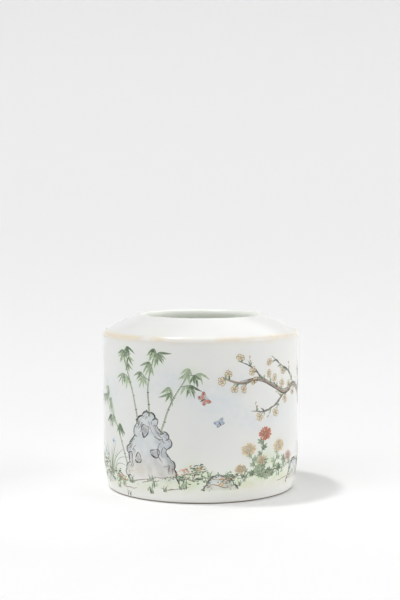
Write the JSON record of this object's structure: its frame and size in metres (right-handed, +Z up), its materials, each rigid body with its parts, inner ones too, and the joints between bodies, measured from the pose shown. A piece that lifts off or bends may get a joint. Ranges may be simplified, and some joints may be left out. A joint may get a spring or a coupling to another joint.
{
  "type": "brush washer",
  "caption": "Straight-sided porcelain brush washer with a sloping shoulder, a narrow round mouth and a low foot ring, for rinsing ink brushes on a desk.",
  "frame": {"origin": "middle of the circle that the foot ring stands on", "axes": "+Z up, along the pot's axis; -Y towards the painted front"},
  "size_m": [0.0862, 0.0862, 0.0765],
  "materials": {
    "biscuit": "fired porcelain clay under the glaze",
    "bare_foot": "bare fired clay, matt, browned at the edge of the glaze",
    "slip": "fired slip under the glaze",
    "white_glaze": "soft gloss, faintly green white, a few iron specks, painted over with pale enamels",
    "inside_glaze": "soft gloss, pale green white",
    "ochre_enamel": "thin ochre enamel, worn along the edge",
    "ink_enamel": "thin ink-grey enamel lines over the glaze",
    "green_enamel": "thin pale green enamel over the glaze",
    "red_enamel": "thin iron-red enamel over the glaze",
    "blue_enamel": "thin pale blue enamel over the glaze"
  },
  "bodies": {
    "root": {"wall": "biscuit", "shoulder": "biscuit", "floor": "biscuit", "foot_ring": "bare_foot", "shoulder_slip_joint": "slip", "floor_slip_joint": "slip", "foot_slip_joint": "slip", "outer_glaze": "white_glaze", "inner_glaze": "inside_glaze", "base_glaze": "white_glaze", "arris_band": "ochre_enamel"}
  },
  "joints": []
}
